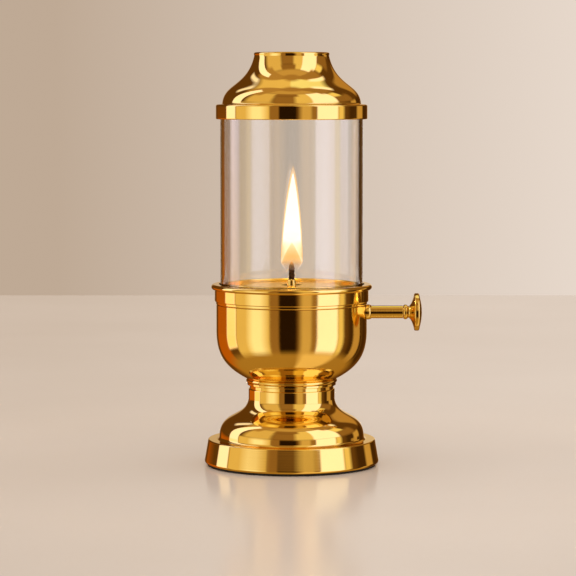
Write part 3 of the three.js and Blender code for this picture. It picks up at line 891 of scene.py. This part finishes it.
# %% Glow of the flame
def glow(name, colours, shares, strength, low, high, filling=None):
    """Light mixed with clear: colour and share of light run with the height, from foot to tip.

    A filling is light that grows with the depth looked through, given as its colour and its light per mm.
    """
    material, nodes, links, place = start_material(name)
    split = node(nodes, "ShaderNodeSeparateXYZ")
    links.new(place, split.inputs[0])
    height = blend_over(nodes, links, split.outputs["Z"], low * MM, high * MM)
    colour = ramp(nodes, links, height, colours)
    share = ramp(nodes, links, height, [(position, (value, value, value)) for position, value in shares])
    light = node(nodes, "ShaderNodeEmission", {"Strength": strength})
    links.new(colour, light.inputs["Color"])
    clear = node(nodes, "ShaderNodeBsdfTransparent")
    mix = node(nodes, "ShaderNodeMixShader")
    links.new(share, mix.inputs["Fac"])
    links.new(clear.outputs[0], mix.inputs[1])
    links.new(light.outputs[0], mix.inputs[2])
    out = to_surface(nodes, links, mix)
    if filling:
        soot_colour, light_per_mm = filling
        soot = node(
            nodes, "ShaderNodeEmission", {"Color": (*soot_colour, 1.0), "Strength": light_per_mm / MM}
        )
        links.new(soot.outputs[0], out.inputs["Volume"])
    return material


# %% [markdown]
# ## Shape of the flame
# Both pieces are the same drop: full near its foot and drawn out to a point. The outer one is open below
# and runs up inside itself over the wick, and the white body is the drop less an even inset.

# %% Shape of the flame
FLAME_HEIGHT, FLAME_RADIUS, FLAME_LEAN, BELLY_SHARE = 52.9, 5.4, 0.75, 0.1
WICK_IN_FLAME, BODY_INSET = 5.7, 0.6
HOLLOW_SHARE, RIM_SHARE, BODY_SHARE, SHEET = 0.285, 0.032, 0.16, 0.06
FLAME_FACETS, DROP_ROWS, HOLLOW_ROWS = 64, 110, 40
flame_foot = wick_top - WICK_IN_FLAME
flame_tip = flame_foot + FLAME_HEIGHT
flame_turn = np.linspace(0, 2 * np.pi, FLAME_FACETS, endpoint=False)


def flame_piece(name, radius, height, material):
    """A turned drop whose axis leans with the height above the foot: lean times (share of height)^1.5."""
    lean = FLAME_LEAN * np.clip((height - flame_foot) / FLAME_HEIGHT, 0, 1) ** 1.5
    grid = np.stack(
        [
            radius[:, None] * np.cos(flame_turn) + lean[:, None],
            radius[:, None] * np.sin(flame_turn),
            height[:, None] * np.ones(FLAME_FACETS),
        ],
        axis=-1,
    )
    piece = new_piece(name, grid * MM, closed_rows=False)
    piece.visible_shadow = False
    return dress(piece, material, "wick")


def drop_radius(t):
    """Radius of the drop: R (1 - u^1.6)^0.75, u from the belly up, and R sqrt(t / b) below it."""
    u = np.clip((t - BELLY_SHARE) / (1 - BELLY_SHARE), 0, 1)
    above = FLAME_RADIUS * (1 - u**1.6) ** 0.75
    below = FLAME_RADIUS * np.sqrt(np.clip(t / BELLY_SHARE, 0, 1))
    return np.minimum(above, below)


def hollow_flame(name, material):
    """The drop from its tip down to a rim round the wick, then up inside, to a cone over the wick.

    The inside radius is the drop's, less the sheet, times (1 - v)^0.8, with v running from the belly up.
    """
    down = np.linspace(1.0, RIM_SHARE, DROP_ROWS)
    up = np.linspace(RIM_SHARE, HOLLOW_SHARE, HOLLOW_ROWS)[1:]
    v = np.clip((up - BELLY_SHARE) / (HOLLOW_SHARE - BELLY_SHARE), 0, 1)
    hollow = drop_radius(up) * (1 - SHEET) * (1 - v) ** 0.8
    radius = np.r_[drop_radius(down), hollow]
    radius[0] = radius[-1] = 0.0
    return flame_piece(name, radius, flame_foot + FLAME_HEIGHT * np.r_[down, up], material)


def white_body(name, material):
    """The drop less an inset, from a little over the wick to a little below the tip."""
    t = np.linspace(BODY_SHARE, 1.0, DROP_ROWS)
    radius = np.clip(drop_radius(t) - BODY_INSET, 0.0, None)
    radius[0] = radius[-1] = 0.0
    height = flame_foot + BODY_INSET + (FLAME_HEIGHT - 5 * BODY_INSET) * t
    return flame_piece(name, radius, height, material)


# %% [markdown]
# ## Colours of the flame
# The foot is thin and bluish, the skin is deep orange round the wick and amber above it, and the body
# goes from honey to nearly white. Each row pairs a share of the flame's height with a colour or a share
# of light.

# %% Colours of the flame
AMBER, HONEY, CREAM = (1.0, 0.52, 0.13), (1.0, 0.85, 0.3), (1.0, 1.0, 0.95)
SOOT_GLOW, SOOT_LIGHT_PER_MM = (1.0, 0.8, 0.62), 0.18
body_glow = glow(
    "flame_body",
    [(0.22, HONEY), (0.31, CREAM)],
    [(0.22, 0.0), (0.28, 0.2), (0.34, 0.7), (0.42, 1.0)],
    strength=2.0,
    low=flame_foot,
    high=flame_tip,
)
skin_glow = glow(
    "flame_skin",
    [(0.0, (0.35, 0.3, 0.4)), (0.06, (0.7, 0.3, 0.06)), (0.11, (1.0, 0.47, 0.07)), (0.3, AMBER)],
    [(0, 0.03), (0.07, 0.08), (0.11, 0.26), (0.16, 0.58), (0.24, 0.5), (0.3, 0.42), (0.85, 0.5), (1, 0.1)],
    strength=1.1,
    low=flame_foot,
    high=flame_tip,
    filling=(SOOT_GLOW, SOOT_LIGHT_PER_MM),
)
white_body("flame_middle", body_glow)
hollow_flame("flame_outer", skin_glow)

# %% [markdown]
# ## Floor
# A pale polished table that mirrors the lamp. The brass doesn't mirror the table card itself, which has no
# shade of its own to speak of: it sees the darker table that is set up with the room below.


# %% Floor
def stage_card(name, half_width, front, back, height, finish):
    """A flat rectangle that stands for a stretch of table."""
    corners = [(-half_width, front), (half_width, front), (half_width, back), (-half_width, back)]
    mesh = bpy.data.meshes.new(name)
    mesh.from_pydata([(x, y, height) for x, y in corners], [], [(0, 1, 2, 3)])
    mesh.materials.append(finish)
    card = new_object(name, mesh)
    return card


def table_finish(name):
    """Pale stone with a soft gloss; a faint cloudiness keeps it from looking like paper."""
    material, nodes, links, place = start_material(name)
    clouds = noise(nodes, links, place, 3.0, 3.0)
    stops = [(0.3, (0.77, 0.65, 0.545)), (0.7, (0.83, 0.71, 0.605))]
    colour = ramp(nodes, links, clouds, stops)
    settings = {"Roughness": 0.17, "IOR": 1.45, "Specular IOR Level": 0.08}
    shader = node(nodes, "ShaderNodeBsdfPrincipled", settings)
    links.new(colour, shader.inputs["Base Color"])
    to_surface(nodes, links, shader)
    return material


TABLE_HALF = 1.06
table = stage_card("floor", TABLE_HALF, -TABLE_HALF, TABLE_HALF, 0.0, table_finish("table"))
table.visible_glossy = False

# %% [markdown]
# ## Room light
# Polished brass shows the room more than itself, so the room is set up as a photographer would do it:
# plain panels stand round the lamp in a dim room. Azimuths are counted from the camera's side, plus to
# the right, and elevations from level. The table under the lamp is a panel too, dark as it lies in the
# lamp's shade. The eye and clear glass look straight on to a plain pale wall, dull surfaces are lit from
# all sides by the same plain white, and what faces away from the camera mirrors that pale wall. One tint
# over the whole room takes back the green of the brass, which is strong so that brass seen in brass
# doesn't turn orange.

# %% Room light
DIM_BELOW, DIM_ABOVE = 0.13, 0.12
LOW, BELOW, ABOVE, BOTH = (-90.0, -2.5), (-90.0, 12.0), (12.0, 62.0), (-18.0, 62.0)
ALL_ROUND, CEILING, TABLE = (-200.0, 200.0), (62.0, 118.0), (-118.0, -32.0)
WINDOW_LIGHT, STRIP_LIGHT, STRIP_FOOT = (1.45, 1.43, 1.5), (1.45, 1.43, 1.6), (1.5, 1.12, 0.65)
ROOM_TINT = np.array((0.98, 0.853, 0.923))
WALL_ON_THE_LEFT, WALL_ON_THE_RIGHT, WALL_BLEND = (0.52, 0.40, 0.30), (0.79, 0.68, 0.59), (-0.09, 0.11)
UPPER_FROM, UPPER_TO, BACK_FROM, BACK_TO = 9.0, 16.0, 0.965, 0.98


def room_colour(level):
    """Dim parts of the room are warmer: green falls to 0.42 and blue to 0.06 of the level near black."""
    green = min(1.0, 0.42 + 0.42 * level)
    blue = min(1.0, 0.06 + 0.27 * level)
    return level, level * green, level * blue


# Each panel: azimuths from and to, elevations from and to, width of its soft edge, all in degrees, colour
PANELS = {
    "corner on the left": ((-159.0, -120.0), BELOW, 4.0, room_colour(0.12)),
    "orange curtain on the left": ((-153.0, -117.0), LOW, 6.0, (0.5, 0.14, 0.006)),
    "left wall": ((-94.0, -33.0), BELOW, 5.0, room_colour(0.85)),
    "lit patch of the left wall": ((-68.0, -42.0), BELOW, 14.0, (1.2, 1.22, 0.95)),
    "turn of the left wall": ((-33.0, -19.0), BELOW, 3.0, room_colour(0.32)),
    "gap where the camera stands": ((-19.0, 7.0), BELOW, 3.0, room_colour(0.02)),
    "white card beside the camera": ((13.0, 31.5), BELOW, 8.0, room_colour(0.7)),
    "frame of the window": ((31.5, 38.0), BELOW, 3.0, room_colour(0.35)),
    "window": ((39.0, 75.0), BELOW, 3.0, WINDOW_LIGHT),
    "curtain": ((75.0, 86.0), BELOW, 6.0, room_colour(0.95)),
    "dark wall on the right": ((97.0, 155.0), BELOW, 8.0, room_colour(0.06)),
    "open door": ((117.0, 135.0), BELOW, 5.0, room_colour(0.6)),
    "door sill": ((127.0, 136.0), LOW, 3.0, room_colour(0.06)),
    "chest before the door": ((109.0, 127.0), LOW, 4.0, room_colour(0.55)),
    "upper left wall": ((-86.0, -34.0), ABOVE, 12.0, room_colour(0.8)),
    "wall over the camera": ((-32.0, 8.0), (12.0, 46.0), 8.0, room_colour(0.32)),
    "pale wall by the window": ((6.0, 38.0), ABOVE, 8.0, room_colour(0.9)),
    "shade under the ceiling": ((-38.0, 14.0), (46.0, 65.0), 8.0, room_colour(0.3)),
    "upper panes of the window": ((36.0, 86.0), ABOVE, 4.0, WINDOW_LIGHT),
    "wall beside the curtain": ((86.0, 126.0), (12.0, 34.0), 8.0, room_colour(0.3)),
    "top of the curtain": ((86.0, 108.0), (34.0, 50.0), 6.0, room_colour(1.05)),
    "back wall on the right": ((149.0, 172.0), (14.0, 40.0), 6.0, room_colour(0.5)),
    "ceiling": (ALL_ROUND, CEILING, 7.0, room_colour(0.6)),
    "ceiling at the back on the left": ((178.0, 233.0), (53.0, 118.0), 8.0, room_colour(0.88)),
    "ceiling at the back on the right": ((132.0, 184.0), (53.0, 118.0), 8.0, (1.05, 1.08, 0.6)),
    "beam on the left": ((-131.0, -70.0), (46.0, 118.0), 8.0, room_colour(0.48)),
    "beam on the right": ((74.0, 124.0), (52.0, 118.0), 8.0, room_colour(0.4)),
    "skylight": ((124.0, 137.0), (50.0, 69.0), 5.0, WINDOW_LIGHT),
    "high window on the left": ((-145.0, -135.0), (32.0, 50.0), 5.0, (1.2, 1.25, 1.5)),
    "middle of the ceiling": (ALL_ROUND, (80.0, 100.0), 6.0, room_colour(0.42)),
    "strip light": ((-117.0, -95.0), BOTH, 2.0, STRIP_LIGHT),
    "foot of the strip light": ((-117.0, -95.0), (-18.0, -2.5), 5.0, STRIP_FOOT),
    "table in shade": (ALL_ROUND, TABLE, 14.0, (0.42, 0.25, 0.05)),
    "lit side of the table": ((14.0, 80.0), TABLE, 14.0, (0.95, 0.7, 0.28)),
}


# %% [markdown]
# ## Edges of a panel
# A panel is a soft-edged rectangle in azimuth and elevation. One small network tells how far inside it
# a direction lies, and takes both angles at once as a vector.


# %% Edges of a panel
def panel_share(nodes, links, place, azimuths, elevations, softness):
    """How far inside a panel a direction lies: 1 inside, 0 outside, with a soft edge on all four sides.

    The distance from the panel's middle is wrapped to half a turn, so a panel may lie across the back.
    """
    low, high = np.array([azimuths, elevations]).T
    middle, half = (low + high) / 2, (high - low) / 2
    offset = node(nodes, "ShaderNodeVectorMath", {1: (*middle, 0.0)}, operation="SUBTRACT")
    links.new(place, offset.inputs[0])
    limits = {1: (180.0, 180.0, 180.0), 2: (-180.0, -180.0, -180.0)}
    wrapped = node(nodes, "ShaderNodeVectorMath", limits, operation="WRAP")
    links.new(offset.outputs[0], wrapped.inputs[0])
    distance = node(nodes, "ShaderNodeVectorMath", operation="ABSOLUTE")
    links.new(wrapped.outputs[0], distance.inputs[0])
    edges = node(nodes, "ShaderNodeMapRange", data_type="FLOAT_VECTOR")
    edges.inputs[7].default_value = (*(half + softness / 2), 1.0)
    edges.inputs[8].default_value = (*(half - softness / 2), 0.0)
    links.new(distance.outputs[0], edges.inputs[6])
    split = node(nodes, "ShaderNodeSeparateXYZ")
    links.new(edges.outputs[1], split.inputs[0])
    share = node(nodes, "ShaderNodeMath", operation="MULTIPLY")
    links.new(split.outputs["X"], share.inputs[0])
    links.new(split.outputs["Y"], share.inputs[1])
    return share.outputs[0]


# %% [markdown]
# ## Room as a world
# The direction of a ray is turned into the two angles, and the panels are laid over the dim room one by
# one. The kind of ray then chooses between the mirrored room, the plain wall and the plain white.

# %% Room as a world
world = bpy.data.worlds.new("room")
bpy.context.scene.world = world
world.use_nodes = True
nodes, links = world.node_tree.nodes, world.node_tree.links
nodes.clear()
direction = node(nodes, "ShaderNodeTexCoord")
split = node(nodes, "ShaderNodeSeparateXYZ")
links.new(direction.outputs["Generated"], split.inputs[0])


def degrees_of(operation, first, second=None):
    """An inverse trigonometric function of one or two sockets, in degrees."""
    angle = node(nodes, "ShaderNodeMath", operation=operation)
    links.new(first, angle.inputs[0])
    if second is not None:
        links.new(second, angle.inputs[1])
    degrees = node(nodes, "ShaderNodeMath", operation="DEGREES")
    links.new(angle.outputs[0], degrees.inputs[0])
    return degrees.outputs[0]


towards_camera = node(nodes, "ShaderNodeMath", {1: -1.0}, operation="MULTIPLY")
links.new(split.outputs["Y"], towards_camera.inputs[0])
place = node(nodes, "ShaderNodeCombineXYZ")
links.new(degrees_of("ARCTAN2", split.outputs["X"], towards_camera.outputs[0]), place.inputs[0])
elevation = degrees_of("ARCSINE", split.outputs["Z"])
links.new(elevation, place.inputs[1])

is_above = blend_over(nodes, links, elevation, UPPER_FROM, UPPER_TO)
dim_below, dim_above = (tuple(ROOM_TINT * room_colour(level)) for level in (DIM_BELOW, DIM_ABOVE))
studio = mix_colours(nodes, links, is_above, dim_below, dim_above)
for azimuths, elevations, softness, colour in PANELS.values():
    share = panel_share(nodes, links, place.outputs[0], azimuths, elevations, softness)
    studio = mix_colours(nodes, links, share, studio, tuple(ROOM_TINT * colour))

to_the_right = blend_over(nodes, links, split.outputs["X"], *WALL_BLEND)
wall = mix_colours(nodes, links, to_the_right, WALL_ON_THE_LEFT, WALL_ON_THE_RIGHT)
behind = blend_over(nodes, links, split.outputs["Y"], BACK_FROM, BACK_TO)
mirrored = mix_colours(nodes, links, behind, studio, wall)
path = node(nodes, "ShaderNodeLightPath")
lit = mix_colours(nodes, links, path.outputs["Is Diffuse Ray"], mirrored, (1.0, 1.0, 1.0))
bounces = node(nodes, "ShaderNodeMath", operation="ADD")
links.new(path.outputs["Glossy Depth"], bounces.inputs[0])
links.new(path.outputs["Diffuse Depth"], bounces.inputs[1])
straight = node(nodes, "ShaderNodeMath", {1: 0.5}, operation="LESS_THAN")
links.new(bounces.outputs[0], straight.inputs[0])
seen = mix_colours(nodes, links, straight.outputs[0], lit, wall)
background = node(nodes, "ShaderNodeBackground", {"Strength": 1.0})
links.new(seen, background.inputs["Color"])
room_out = node(nodes, "ShaderNodeOutputWorld")
links.new(background.outputs[0], room_out.inputs["Surface"])
print("panels in the room:", len(PANELS))

# %% [markdown]
# ## Light of the flame
# A small warm lamp inside the flame lights the dish. It is hidden from the eye, so only its glow shows.

# %% Light of the flame
LAMP_HEIGHT = 20
fire = bpy.data.lights.new("flame_light", "POINT")
fire.energy, fire.color, fire.shadow_soft_size = 0.08, (1.0, 0.66, 0.3), 0.004
fire_place = new_object("flame_light", fire)
fire_place.location = (0.0, 0.0, (flame_foot + LAMP_HEIGHT) * MM)
fire_place.visible_camera = fire_place.visible_transmission = False

# %% [markdown]
# ## Camera
# A long lens well back from the lamp, a little above it and tipped down by a few degrees.

# %% Camera
FRAME_PIXELS = 576
FOCAL_PIXELS = 2553.6
SENSOR_MM = 36.0
CAMERA_PLACE, TIPPED_DOWN = (-0.0018, -1.25, 0.182), 4.341
camera_data = bpy.data.cameras.new("camera")
camera_data.sensor_width = SENSOR_MM
camera_data.lens = FOCAL_PIXELS / FRAME_PIXELS * SENSOR_MM
print("lens in mm:", round(camera_data.lens, 1))
camera = new_object("camera", camera_data)
camera.location = CAMERA_PLACE
camera.rotation_euler = (np.radians(90 - TIPPED_DOWN), 0.0, 0.0)
bpy.context.scene.camera = camera
bpy.context.scene.view_settings.view_transform = "Standard"
